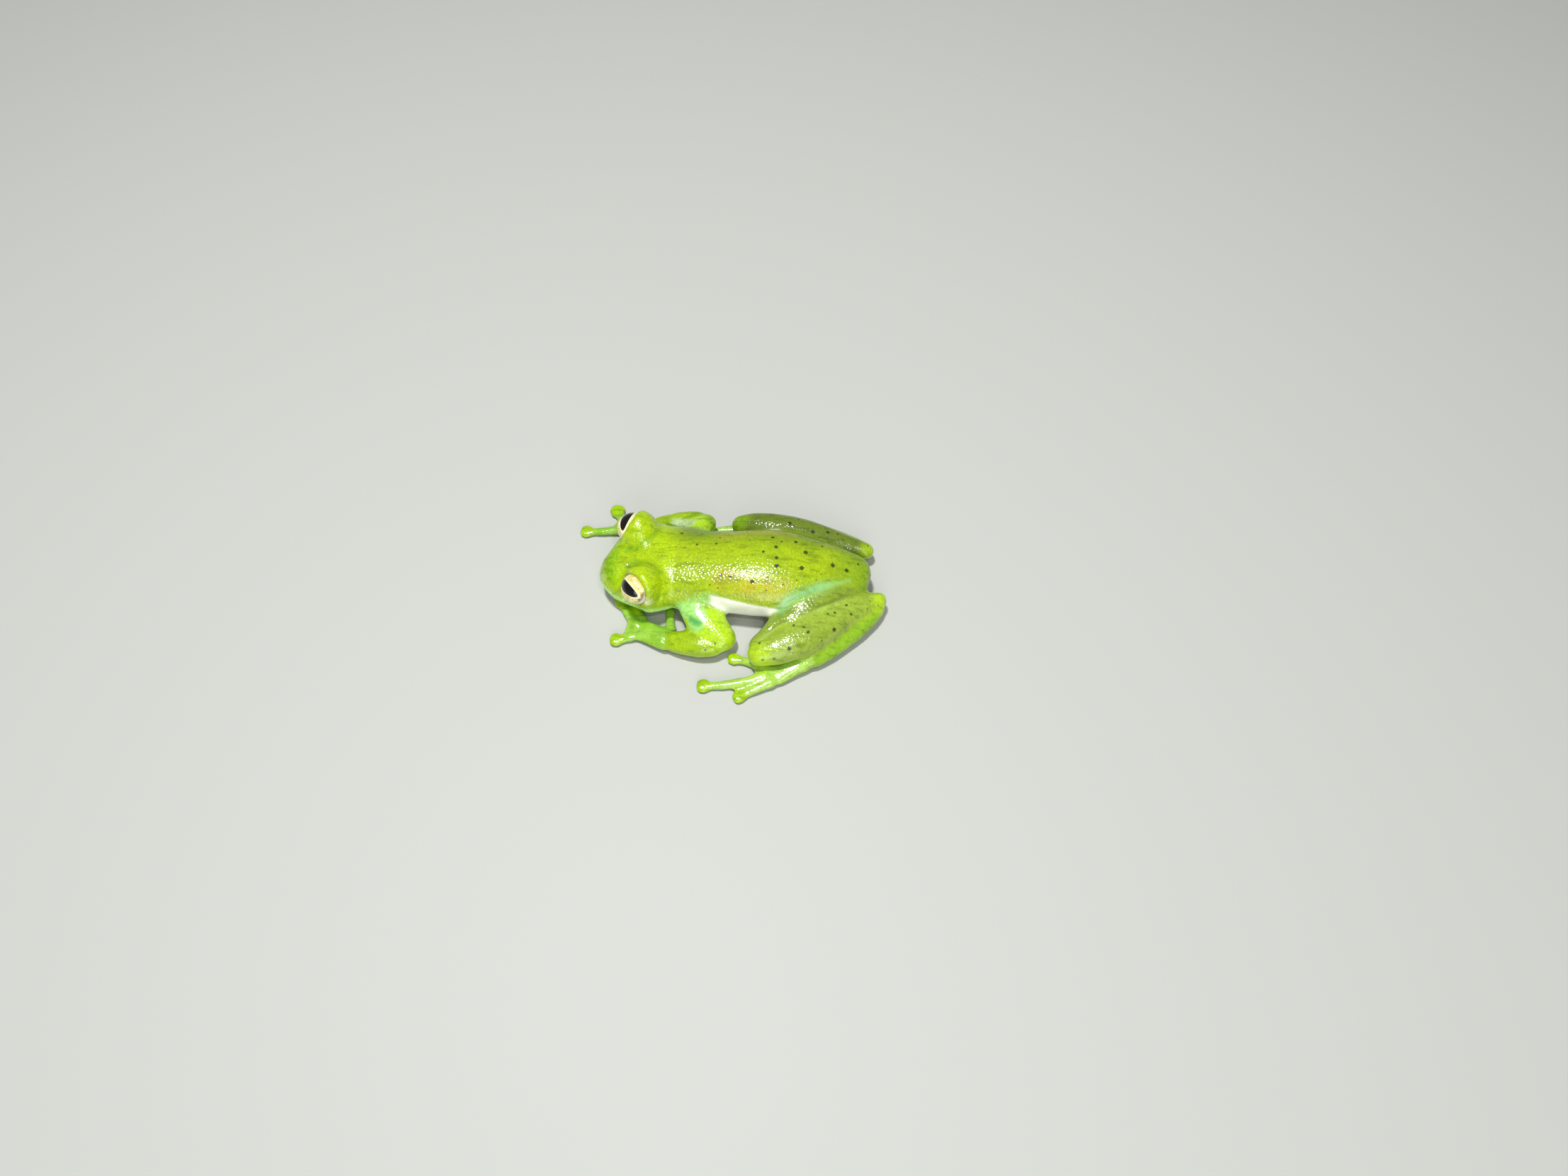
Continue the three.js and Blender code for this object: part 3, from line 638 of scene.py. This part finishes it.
# painted shade: the far thigh and shank are a darker copy of the legs' colour
paint(region("thigh", "shank", side="right"), LEG_SHADE, strength=0.85)
paint(region("tarsus"), TARSUS)
paint(region("foot", "toe"), FOOT)
rear_loss = fade(back_y, *GROIN_REAR) * GROIN_REAR_LOSS
for line in (GROIN_LINE, FAR_GROIN):
    paint(along(line, GROIN_REACH) * (GROIN_STRENGTH - rear_loss), GROIN_AQUA)
    paint(along(line, GROIN_FOLD_REACH) * (GROIN_FOLD_STRENGTH - rear_loss), GROIN_AQUA)
crease_edge = [np.add(point, CREASE_EDGE_OFFSET) for point in THIGH_CREASE]
paint(along(crease_edge, CREASE_EDGE_REACH), EDGE_GREEN, strength=0.35)
# painted shade in the crease between thigh and shank
paint(along(THIGH_CREASE, CREASE_REACH), LEG_SHADE, strength=0.4)

# Flank stripe, joints, hands and feet
flank = fade(at[:, 2] - np.interp(back_y, *zip(*FLANK_TOP)), *FLANK_EDGE)
flank *= fade(back_y, *FLANK_FRONT)
flank *= fade(back_y, *FLANK_REAR) * torso
paint(flank, WHITE)
# the far joints take a darker copy of the joints' yellow, which is painted shade
for joints, code in ((NEAR_JOINTS, KNEE), (FAR_JOINTS, SHADED_JOINT)):
    for point, reach in joints:
        paint(around(point, (reach / 3, reach)), code, strength=0.85)
ends = region("hand", "finger", "foot", "toe", "tarsus")
paint(region("hand", "finger", "foot", "toe") * blotches, PALE_HAND, strength=0.3)
for pad in digit_pads():
    paint(around(pad, PAD_REACH) * ends, PAD)

# How granular the skin is, from 0 to 1
LIMB_GRAIN = 0.7
END_GRAIN = 0.45
WHITE_SKIN_LOSS = 0.9
WHITE_SKIN = (0.8, 0.2)  # share of white paint at which the loss is full, and none
THIN_ARM_LOSS = 0.4
GROIN_LOSS = 0.7
limbs = region("shank", "thigh", "upper_arm", "forearm")
grain = trunk * fade(upward, *TRUNK_GRAIN_SLOPE)
grain += limbs * LIMB_GRAIN * fade(upward, *LIMB_GRAIN_SLOPE)
grain += ends * END_GRAIN
grain *= 1 - WHITE_SKIN_LOSS * fade(flank, *WHITE_SKIN)
grain *= 1 - THIN_ARM_LOSS * thin_arm
for line in (GROIN_LINE, FAR_GROIN):
    grain *= 1 - GROIN_LOSS * along(line, GROIN_GRAIN_REACH)


def store(name, kind, values):
    """Keeps a value for each vertex as an attribute that the material reads."""
    made = skin.data.attributes.new(name, kind, "POINT")
    field = "color" if kind == "FLOAT_COLOR" else "value"
    made.data.foreach_set(field, values.astype(np.float32).ravel())


store("tint", "FLOAT_COLOR", np.column_stack([np.clip(tint, 0, 1), np.ones(len(tint))]))
store("spot_edge", "FLOAT", evened(spot_edges(at, upward > 0), pairs, 1))
store("grain", "FLOAT", np.clip(grain, 0, 1))


# Skin, its finish. Moist and glossy, it is beset with fine round granules that each throw a
# spark of light. They crowd the back, head and lids and thin out on the limbs.
# Painted shade darkens the gaps between the fine granules and streaks along fine folds.
def add_node(tree, kind, inputs=(), **settings):
    """New shader node. Inputs are values, or other nodes' outputs to link."""
    made = tree.nodes.new("ShaderNode" + kind)
    for name, value in settings.items():
        setattr(made, name, value)
    for key, value in dict(inputs).items():
        if isinstance(value, bpy.types.NodeSocket):
            tree.links.new(value, made.inputs[key])
        else:
            made.inputs[key].default_value = value
    return made


def computed(tree, operation, *values):
    return add_node(tree, "Math", dict(enumerate(values)), operation=operation).outputs[0]


def blended(tree, share, first, second, mode="MIX"):
    inputs = {"Factor": share, 6: first, 7: second}
    return add_node(tree, "Mix", inputs, data_type="RGBA", blend_type=mode).outputs[2]


def overlaid(tree, toned, share, strength, code, mode="MIX"):
    """Colour under a coat of another, as thick as its share and strength together."""
    return blended(tree, computed(tree, "MULTIPLY", share, strength), toned, rgba(code), mode)


def ranged(tree, value, low, high, to_low=0.0, to_high=1.0):
    """Value moved smoothly from one range to another."""
    inputs = {"Value": value, 1: low, 2: high, 3: to_low, 4: to_high}
    return add_node(tree, "MapRange", inputs, interpolation_type="SMOOTHSTEP").outputs[0]


def noise(tree, place, scale, detail, distortion=0.0):
    inputs = {"Vector": place, "Scale": scale, "Detail": detail, "Distortion": distortion}
    return add_node(tree, "TexNoise", inputs).outputs["Fac"]


def cells(tree, place, scale):
    """Distance from the middle of the nearest of many cells."""
    inputs = {"Vector": place, "Scale": scale}
    return add_node(tree, "TexVoronoi", inputs, feature="F1").outputs["Distance"]


def attribute(tree, name, output="Fac"):
    return add_node(tree, "Attribute", attribute_name=name).outputs[output]


def millimetres(tree):
    """Object coordinates in millimetres."""
    place = add_node(tree, "TexCoord").outputs["Object"]
    return add_node(tree, "Mapping", {"Vector": place, "Scale": (1000, 1000, 1000)}).outputs[0]


def rgba(code):
    return (*colour(code), 1)


def new_material(title):
    made = bpy.data.materials.new(title)
    made.use_nodes = True
    tree = made.node_tree
    return made, tree, tree.nodes["Principled BSDF"]


SPOT_COLOUR = "#16200c"
CREVICE_SHADE = "#7a960a"
GRANULE_TIP = "#e6ee3c"
GRANULE_SIZE = 3.4  # granules to a millimetre
GRANULE_REACH = 0.62  # radius of a granule, in its cell
GRANULE_HEIGHT = 0.019 * MM
FINE_GRANULE_SIZE = 7.5
FINE_GRANULE_REACH = 0.7
FINE_GRANULE_SHARE = 0.06  # of a granule's height
SMOOTH_SKIN_RELIEF = 0.08  # share of the relief where the skin isn't granular
FRECKLES = 0.8  # to a millimetre
WRINKLE_STRETCH = (2.4, 0.5, 1.6)  # painted shade of fine folds, in streaks that run from head to rump
SPECKLE_NOISE = (3.0, 5.0)  # scale to a millimetre, and detail
PATCH_NOISE = (0.45, 2.0)
WRINKLE_NOISE = (1.0, 4.0)
RAGGED_NOISE = (6.0, 2.0)
RAGGED_EDGE = (0.16, -0.09)  # mm: what the noise adds to a spot's edge, and from where
PATCH_SHADE = (0.4, 0.7, 0.0, 0.2)  # from one value of the noise to another, and the shade there
SPECKLE_SHADE = (0.35, 0.75, 0.0, 0.25)
WRINKLE_SHADE = (0.5, 0.68, 0.0, 0.4)
SHADE_BY_GRAIN = (0.0, 0.6, 0.25, 1.0)
GLOSS = (0.3, 0.7, 0.18, 0.24)  # from one value of the speckle to another, and the roughness there
CREVICE_SHADING = (0.5, 0.0, 0.3)  # height on a fine granule where it starts and is full, strength
TIPS = (0.65, 0.97, 0.15)
FRECKLE_RIM = (0.085, 0.05, 0.6)  # the same by distance, in a freckle's cell
SPOT_RIM = (0.06, -0.04)  # mm from a spot's edge at which its colour starts, and is full
SPOT_STRENGTH = 0.85


def dome_of(tree, distance, reach):
    """Round dome: 1 at a granule's middle and 0 at its rim."""
    rim = computed(tree, "POWER", computed(tree, "DIVIDE", distance, reach), 2.0)
    return computed(tree, "MAXIMUM", computed(tree, "SUBTRACT", 1.0, rim), 0.0)


def marked(tree, toned, value, start, full, strength, code):
    """Colour of granular skin under another, where a value passes from start to full."""
    share = computed(tree, "MULTIPLY", ranged(tree, value, start, full), grain_share)
    return overlaid(tree, toned, share, strength, code)


skin_finish, tree, surface = new_material("moist_granular_skin")
place = millimetres(tree)
grain_share = attribute(tree, "grain")
dome = dome_of(tree, cells(tree, place, GRANULE_SIZE), GRANULE_REACH)
fine_dome = dome_of(tree, cells(tree, place, FINE_GRANULE_SIZE), FINE_GRANULE_REACH)
relief = computed(tree, "MULTIPLY_ADD", fine_dome, FINE_GRANULE_SHARE, dome)
relief_share = ranged(tree, grain_share, 0.0, 1.0, SMOOTH_SKIN_RELIEF, 1.0)
relief = computed(tree, "MULTIPLY", relief, relief_share)
bump = add_node(tree, "Bump", {"Height": relief, "Strength": 1.0, "Distance": GRANULE_HEIGHT})
speckle = noise(tree, place, *SPECKLE_NOISE)
patches = noise(tree, place, *PATCH_NOISE)
wrinkle_place = add_node(tree, "Mapping", {"Vector": place, "Scale": WRINKLE_STRETCH}).outputs[0]
fold_shade = noise(tree, wrinkle_place, *WRINKLE_NOISE)
coarseness = ranged(tree, grain_share, *SHADE_BY_GRAIN)
toned = attribute(tree, "tint", "Color")
# darker mottling in patches and speckles, and painted shade of fine folds in streaks
shading = [(patches, PATCH_SHADE), (speckle, SPECKLE_SHADE), (fold_shade, WRINKLE_SHADE)]
for pattern, shade in shading:
    toned = overlaid(tree, toned, ranged(tree, pattern, *shade), coarseness, SHADE_AND_MOTTLE, "MULTIPLY")
# painted shade in the gaps between the fine granules
toned = marked(tree, toned, fine_dome, *CREVICE_SHADING, CREVICE_SHADE)
toned = marked(tree, toned, fine_dome, *TIPS, GRANULE_TIP)
ragged = computed(tree, "MULTIPLY_ADD", noise(tree, place, *RAGGED_NOISE), *RAGGED_EDGE)
edge = computed(tree, "ADD", attribute(tree, "spot_edge"), ragged)
toned = overlaid(tree, toned, ranged(tree, edge, *SPOT_RIM), SPOT_STRENGTH, SPOT_COLOUR)
toned = marked(tree, toned, cells(tree, place, FRECKLES), *FRECKLE_RIM, SPOT_COLOUR)
rough = ranged(tree, speckle, *GLOSS)
tree.links.new(toned, surface.inputs["Base Color"])
tree.links.new(rough, surface.inputs["Roughness"])
tree.links.new(bump.outputs["Normal"], surface.inputs["Normal"])
surface.inputs["IOR"].default_value = 1.45
surface.inputs["Specular IOR Level"].default_value = 0.75
surface.inputs["Subsurface Weight"].default_value = 0.2
surface.inputs["Subsurface Radius"].default_value = (1.0, 0.9, 0.3)
surface.inputs["Subsurface Scale"].default_value = 0.4 * MM
skin.data.materials.append(skin_finish)
skin.data.shade_smooth()
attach(skin, "root")
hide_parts(*FLESH)


# Eyes. Wet globes under the lids: a gold iris veined with brown, darker at its upper edge and
# behind, silver towards its rim, round a black pupil that lies level and long inside a thin
# pale ring. The clear cornea is a hard gloss over all of it.
EYE_MESH = {"segments": 96, "ring_count": 64}
PUPIL_FORWARD = math.radians(59)
PUPIL_UP = {"left": math.radians(43), "right": math.radians(66)}  # unlike: the real head tips
PUPIL_HALF = (0.78, 0.32)  # along and across, as shares of the eye's radius
PUPIL_EDGE = (1.03, 0.97)  # in shares of the pupil's reach: where black starts, and is full
PUPIL_RING = (1.2, 1.1)
PUPIL_BLACK = (0.003, 0.003, 0.003, 1)
BACK_OF_EYE = 5.0  # added to the reach behind, so that the pupil is in front alone
GOLD_IRIS = "#ecdb7c"
CREAM_IRIS = "#fcf4c2"
SILVER_IRIS = "#f4f2e0"
AMBER = "#b88c28"
BROWN_VEIN = "#5a3a0c"
MOTTLE_NOISE = (4.5, 3.0)  # scale to the eye's radius, and detail
VEIN_NOISE = (3.2, 3.0, 1.2)  # and distortion
VEIN_MIDDLE = 0.5  # a vein runs where its noise has this value
VEIN_WIDTH = (0.05, 0.005)  # off that value: where it starts, and is full
CREAM_MOTTLE = (0.45, 0.6)
AMBER_MOTTLE = (0.55, 0.45)
UPPER_EDGE = (0.62, 0.85)  # in shares of the radius: where a colour starts, and is full
LOWER_PART = (-0.3, -0.5)
REAR_EDGE = (0.78, 0.9)
SILVER_RIM = (0.45, 0.1)

eye_finish, tree, surface = new_material("wet_gold_eye")
iris_place = attribute(tree, "iris_place", "Vector")
rearward, over, facing = add_node(tree, "SeparateXYZ", {0: iris_place}).outputs
wide = computed(tree, "POWER", computed(tree, "DIVIDE", rearward, PUPIL_HALF[0]), 2.0)
high = computed(tree, "POWER", computed(tree, "DIVIDE", over, PUPIL_HALF[1]), 2.0)
reach = computed(tree, "SQRT", computed(tree, "ADD", wide, high))
behind = computed(tree, "LESS_THAN", facing, 0.0)
reach = computed(tree, "ADD", reach, computed(tree, "MULTIPLY", behind, BACK_OF_EYE))
mottle = noise(tree, iris_place, *MOTTLE_NOISE)
off_vein = computed(tree, "SUBTRACT", noise(tree, iris_place, *VEIN_NOISE), VEIN_MIDDLE)
vein = ranged(tree, computed(tree, "ABSOLUTE", off_vein), *VEIN_WIDTH)
upper = ranged(tree, over, *UPPER_EDGE)
lower = ranged(tree, over, *LOWER_PART)
lower = computed(tree, "MULTIPLY", lower, ranged(tree, mottle, *AMBER_MOTTLE))
rear = ranged(tree, rearward, *REAR_EDGE)
iris = blended(tree, ranged(tree, mottle, *CREAM_MOTTLE), rgba(GOLD_IRIS), rgba(CREAM_IRIS))
layers = [(upper, 0.45, AMBER), (lower, 0.4, AMBER), (vein, 0.38, BROWN_VEIN), (rear, 0.8, BROWN_VEIN)]
for share, strength, code in layers:
    iris = overlaid(tree, iris, share, strength, code)
iris = blended(tree, ranged(tree, facing, *SILVER_RIM), iris, rgba(SILVER_IRIS))
iris = overlaid(tree, iris, ranged(tree, reach, *PUPIL_RING), 0.85, CREAM_IRIS)
iris = blended(tree, ranged(tree, reach, *PUPIL_EDGE), iris, PUPIL_BLACK)
tree.links.new(iris, surface.inputs["Base Color"])
surface.inputs["Roughness"].default_value = 0.3
surface.inputs["Specular IOR Level"].default_value = 0.1
surface.inputs["Coat Weight"].default_value = 1.0
surface.inputs["Coat Roughness"].default_value = 0.02


def make_eye(side):
    eye = EYES[side]
    bpy.ops.mesh.primitive_uv_sphere_add(radius=EYE_RADIUS, location=eye["centre"], **EYE_MESH)
    globe = bpy.context.active_object
    globe.name = f"eyeball_{side}"
    bpy.ops.object.transform_apply(location=True, rotation=True, scale=True)
    level = eye["out"] * math.cos(PUPIL_FORWARD) + eye["ahead"] * math.sin(PUPIL_FORWARD)
    axis = level * math.cos(PUPIL_UP[side]) + Vector((0, 0, math.sin(PUPIL_UP[side])))
    rearward = Vector((0, 0, 1)).cross(axis).normalized()
    if rearward.dot(eye["ahead"]) > 0:
        rearward = -rearward
    over = (Vector((0, 0, 1)) - axis * axis.z).normalized()
    from_centre = (places_of(globe) - eye["centre"]) / EYE_RADIUS
    shares = from_centre @ np.array([rearward, over, axis]).T
    made = globe.data.attributes.new("iris_place", "FLOAT_VECTOR", "POINT")
    made.data.foreach_set("vector", shares.astype(np.float32).ravel())
    globe.data.materials.append(eye_finish)
    globe.data.shade_smooth()
    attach(globe, "root")
    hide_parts(f"eye_{side}")


for side in SIDES:
    make_eye(side)


# Floor, light and camera. A plain pale floor under soft studio light. Two small softboxes stand
# overhead, whose sparks on the moist granules are those of the photograph, and a broad one
# lights the frog's left side. The camera has the photograph's place and frame.
FLOOR_SIZE = 1.2
FLOOR_DROP = 0.01 * MM
SOFTBOXES = {  # azimuth and elevation in degrees, distance and size in metres, and watts
    "key_softbox": (-15, 83, 0.3, 0.034, 0.78),
    "lid_softbox": (121, 65, 0.3, 0.022, 0.14),
    "side_softbox": (98, 24, 0.5, 0.4, 1.05),
}
PHOTO_SIZE = (2212, 1659)
PHOTO_LENS = 1661.0  # focal length in pixels of the photograph
PHOTO_POINT = (1040, 800)  # pixel at which AIM shows
AIM = Vector((-0.47, 0.15, 3.0)) * MM
PIXELS_PER_METRE = 14200
AZIMUTH = math.radians(93)
ELEVATION = math.radians(57)
SENSOR = 36.0
CLIP = (0.005, 5)

bpy.ops.mesh.primitive_plane_add(size=FLOOR_SIZE, location=(0, 0, -FLOOR_DROP))
floor = bpy.context.active_object
floor.name = "floor"
floor_finish, tree, surface = new_material("pale_floor")
surface.inputs["Base Color"].default_value = (0.5, 0.51, 0.48, 1)
surface.inputs["Roughness"].default_value = 0.6
floor.data.materials.append(floor_finish)


def direction(azimuth, elevation):
    """Unit vector from the frog towards a camera or light."""
    level = math.cos(elevation)
    return Vector((math.sin(azimuth) * level, -math.cos(azimuth) * level, math.sin(elevation)))


def add_softbox(title, azimuth, elevation, distance, size, watts):
    bpy.ops.object.light_add(type="AREA")
    lamp = bpy.context.active_object
    lamp.name = title
    towards = direction(math.radians(azimuth), math.radians(elevation))
    lamp.location = AIM + towards * distance
    lamp.rotation_mode = "QUATERNION"
    lamp.rotation_quaternion = towards.to_track_quat("Z", "Y")
    lamp.data.shape = "DISK"
    lamp.data.size = size
    lamp.data.energy = watts


for title, settings in SOFTBOXES.items():
    add_softbox(title, *settings)
world = bpy.data.worlds.new("studio")
bpy.context.scene.world = world
world.use_nodes = True
world.node_tree.nodes["Background"].inputs["Color"].default_value = (1, 1, 1, 1)
world.node_tree.nodes["Background"].inputs["Strength"].default_value = 0.24

bpy.ops.object.camera_add()
camera = bpy.context.active_object
camera.name = "camera"
backward = direction(AZIMUTH, ELEVATION)
rightward = Vector((math.cos(AZIMUTH), math.sin(AZIMUTH), 0))
upwards = backward.cross(rightward)
distance = PHOTO_LENS / PIXELS_PER_METRE
off_right = (PHOTO_POINT[0] - PHOTO_SIZE[0] / 2) * distance / PHOTO_LENS
off_up = (PHOTO_SIZE[1] / 2 - PHOTO_POINT[1]) * distance / PHOTO_LENS
camera.location = AIM - rightward * off_right - upwards * off_up + backward * distance
camera.rotation_mode = "QUATERNION"
camera.rotation_quaternion = backward.to_track_quat("Z", "Y")
camera.data.sensor_width = SENSOR
camera.data.lens = PHOTO_LENS / PHOTO_SIZE[0] * SENSOR
camera.data.clip_start, camera.data.clip_end = CLIP
bpy.context.scene.camera = camera
bpy.context.scene.view_settings.view_transform = "Standard"
